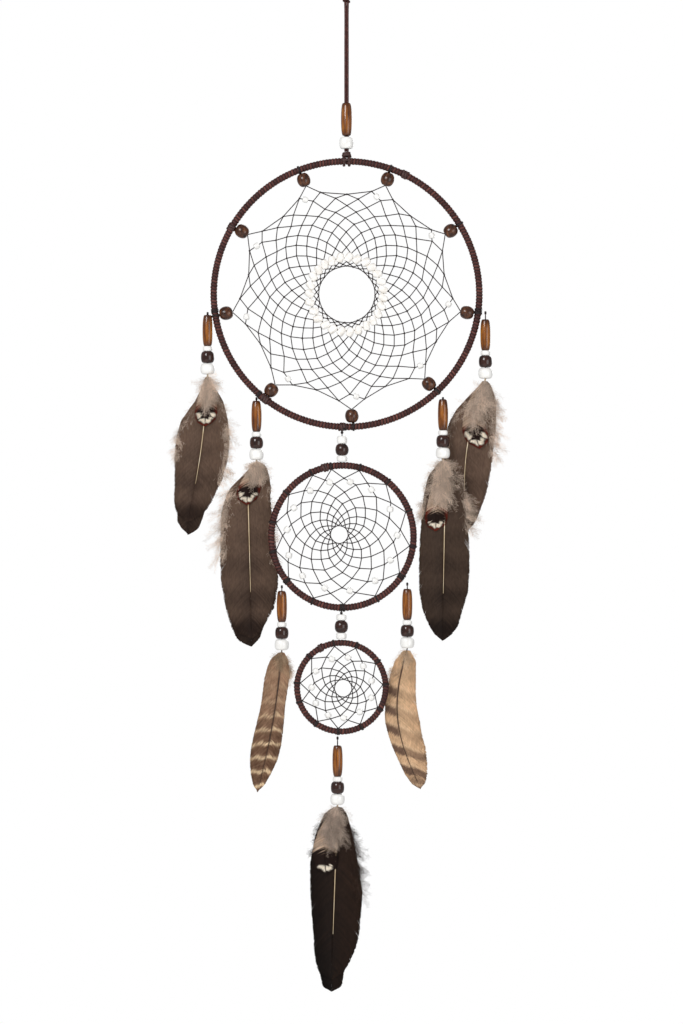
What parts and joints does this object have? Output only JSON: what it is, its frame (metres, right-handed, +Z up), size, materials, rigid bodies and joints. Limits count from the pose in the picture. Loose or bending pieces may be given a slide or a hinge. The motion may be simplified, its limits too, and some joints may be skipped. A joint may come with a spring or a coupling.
{
  "type": "dream catcher",
  "caption": "Hanging ornament: wrapped hoops joined in a column, netted with dark thread and small beads, with beaded feather pendants.",
  "frame": {"origin": "top of the hanging loop, where a nail or hook carries it", "axes": "+Z up, +X to the viewer's right, -Y towards the viewer; the hoops lie in the XZ plane"},
  "size_m": [0.2447, 0.0139, 0.783],
  "materials": {
    "lace": "matte brown suede lace",
    "hoop_wire": "plain wire ring",
    "thread": "waxed dark thread",
    "cream_bead": "glossy cream",
    "white_bead": "satin white",
    "barrel_wood": "polished amber brown",
    "round_wood": "glossy bronze brown",
    "dark_bead": "glossy dark brown",
    "brown_feather": "taupe brown vanes",
    "barred_feather": "tan vanes with grey-brown bars",
    "black_feather": "nearly black vanes"
  },
  "bodies": {
    "hanger": {"hanging_cord": "lace", "hanger_barrel_bead": "barrel_wood", "hanger_white_bead": "white_bead"},
    "hanger_knot": {"hanger_knot": "lace"},
    "big_hoop": {"big_hoop_core": "hoop_wire", "big_hoop_wrap": "lace", "big_web": "thread", "eye_bead_ring": "cream_bead", "wood_bead_1": "round_wood", "wood_bead_2": "round_wood", "wood_bead_3": "round_wood", "wood_bead_4": "round_wood", "wood_bead_5": "round_wood", "wood_bead_6": "round_wood", "wood_bead_7": "round_wood", "wood_bead_8": "round_wood", "wood_bead_9": "round_wood"},
    "middle_hoop": {"upper_link": "dark_bead", "middle_hoop_core": "hoop_wire", "middle_hoop_wrap": "lace", "middle_web": "thread"},
    "small_hoop": {"lower_link": "dark_bead", "small_hoop_core": "hoop_wire", "small_hoop_wrap": "lace", "small_web": "thread"},
    "left_outer_pendant": {"left_outer_string": "thread", "left_outer_barrel_bead": "barrel_wood", "left_outer_dark_bead": "dark_bead", "left_outer_cap_bead": "white_bead", "left_outer_feather": "brown_feather"},
    "left_inner_pendant": {"left_inner_string": "thread", "left_inner_barrel_bead": "barrel_wood", "left_inner_dark_bead": "dark_bead", "left_inner_cap_bead": "white_bead", "left_inner_feather": "brown_feather"},
    "right_inner_pendant": {"right_inner_string": "thread", "right_inner_barrel_bead": "barrel_wood", "right_inner_dark_bead": "dark_bead", "right_inner_cap_bead": "white_bead", "right_inner_feather": "brown_feather"},
    "right_outer_pendant": {"right_outer_string": "thread", "right_outer_barrel_bead": "barrel_wood", "right_outer_dark_bead": "dark_bead", "right_outer_cap_bead": "white_bead", "right_outer_feather": "brown_feather"},
    "left_lower_pendant": {"left_lower_string": "thread", "left_lower_barrel_bead": "barrel_wood", "left_lower_dark_bead": "dark_bead", "left_lower_cap_bead": "white_bead", "left_lower_feather": "barred_feather"},
    "right_lower_pendant": {"right_lower_string": "thread", "right_lower_barrel_bead": "barrel_wood", "right_lower_dark_bead": "dark_bead", "right_lower_cap_bead": "white_bead", "right_lower_feather": "barred_feather"},
    "bottom_pendant": {"bottom_string": "thread", "bottom_barrel_bead": "barrel_wood", "bottom_dark_bead": "dark_bead", "bottom_cap_bead": "white_bead", "bottom_feather": "black_feather"}
  },
  "joints": [
    {"name": "hanger_twist", "type": "hinge", "parent": "hanger", "child": "hanger_knot", "pos_m": [0, 0, -0.1664], "axis": [0, 0, 1], "range_deg": [-180, 180]},
    {"name": "big_hoop_swing", "type": "hinge", "parent": "hanger_knot", "child": "big_hoop", "pos_m": [0, 0, -0.1733], "axis": [1, 0, 0], "range_deg": [-45, 45]},
    {"name": "middle_hoop_swing", "type": "hinge", "parent": "big_hoop", "child": "middle_hoop", "pos_m": [-0.0033, 0, -0.3683], "axis": [1, 0, 0], "range_deg": [-45, 0]},
    {"name": "small_hoop_swing", "type": "hinge", "parent": "middle_hoop", "child": "small_hoop", "pos_m": [-0.0038, 0, -0.501], "axis": [1, 0, 0], "range_deg": [-45, 0]},
    {"name": "left_outer_swing", "type": "hinge", "parent": "big_hoop", "child": "left_outer_pendant", "pos_m": [-0.102, 0, -0.284], "axis": [1, 0, 0], "range_deg": [-40, 40]},
    {"name": "left_inner_swing", "type": "hinge", "parent": "big_hoop", "child": "left_inner_pendant", "pos_m": [-0.0662, 0.0034, -0.3464], "axis": [1, 0, 0], "range_deg": [0, 40]},
    {"name": "right_inner_swing", "type": "hinge", "parent": "big_hoop", "child": "right_inner_pendant", "pos_m": [0.0708, 0, -0.3464], "axis": [1, 0, 0], "range_deg": [-40, 0]},
    {"name": "right_outer_swing", "type": "hinge", "parent": "big_hoop", "child": "right_outer_pendant", "pos_m": [0.102, 0, -0.2834], "axis": [1, 0, 0], "range_deg": [0, 40]},
    {"name": "left_lower_swing", "type": "hinge", "parent": "middle_hoop", "child": "left_lower_pendant", "pos_m": [-0.0475, 0, -0.4846], "axis": [1, 0, 0], "range_deg": [-40, 0]},
    {"name": "right_lower_swing", "type": "hinge", "parent": "middle_hoop", "child": "right_lower_pendant", "pos_m": [0.0446, 0, -0.4826], "axis": [1, 0, 0], "range_deg": [0, 40]},
    {"name": "bottom_swing", "type": "hinge", "parent": "small_hoop", "child": "bottom_pendant", "pos_m": [-0.0066, 0, -0.5956], "axis": [1, 0, 0], "range_deg": [-45, 45]}
  ]
}
